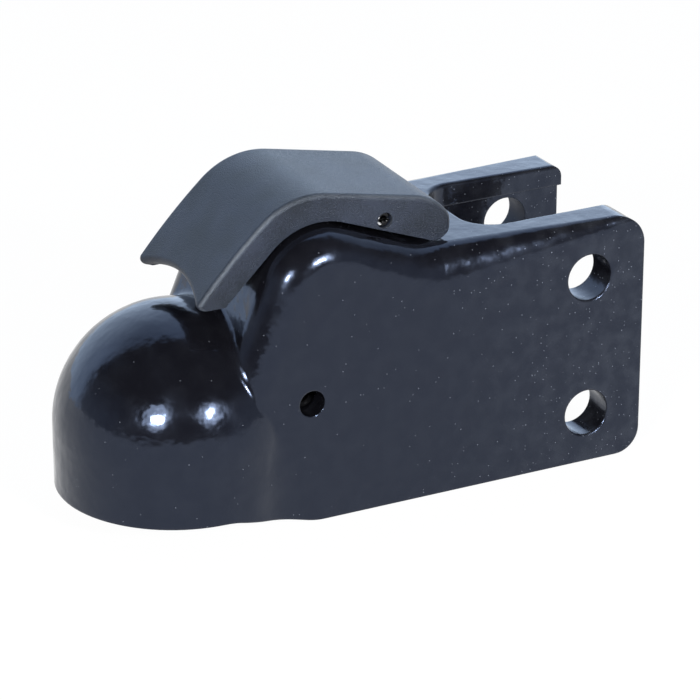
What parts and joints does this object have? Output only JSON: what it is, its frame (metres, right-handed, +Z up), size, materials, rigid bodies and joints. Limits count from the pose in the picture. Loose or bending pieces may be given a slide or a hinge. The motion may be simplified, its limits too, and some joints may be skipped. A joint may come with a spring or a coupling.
{
  "type": "trailer coupling head",
  "caption": "Cast trailer coupling head with a domed ball socket, a hump under a lever latch handle, and a forked rear with cross holes for its bolts.",
  "frame": {"origin": "centre of the hitch ball when it is seated in the socket", "axes": "+X back towards the trailer, +Y across, +Z up"},
  "size_m": [0.203, 0.0838, 0.1129],
  "materials": {
    "body_paint": "gloss",
    "handle_coat": "textured matte",
    "pin_steel": "satin",
    "jaw_iron": "satin",
    "spring_steel": "satin"
  },
  "bodies": {
    "casting": {"coupler_body": "body_paint", "jaw_pin": "pin_steel", "jaw_spring_left": "spring_steel", "jaw_spring_right": "spring_steel", "lock_spring": "spring_steel"},
    "handle": {"latch_handle": "handle_coat", "handle_pin": "pin_steel"},
    "lock": {"lock_wedge": "jaw_iron"},
    "jaw": {"ball_jaw": "jaw_iron"}
  },
  "joints": [
    {"name": "handle_hinge", "type": "hinge", "parent": "casting", "child": "handle", "pos_m": [0.0858, 0, 0.0665], "axis": [0, 1, 0], "range_deg": [0, 35]},
    {"name": "lock_slide", "type": "slide", "parent": "casting", "child": "lock", "axis": [0, 0, 1], "range_m": [0, 0.01362], "stiffness_N_per_m": 800, "springref_m": -0.012, "deforming": ["lock_spring"]},
    {"name": "jaw_hinge", "type": "hinge", "parent": "casting", "child": "jaw", "pos_m": [0.03373, 0, 0.01528], "axis": [0, -1, 0], "range_deg": [0, 13.5], "deforming": ["jaw_spring_left", "jaw_spring_right"]}
  ],
  "couplings": [
    {"joint": "lock_slide", "follows": "handle_hinge", "m_per_rad": 0.022281},
    {"joint": "jaw_hinge", "follows": "handle_hinge", "ratio": 0.38571}
  ]
}
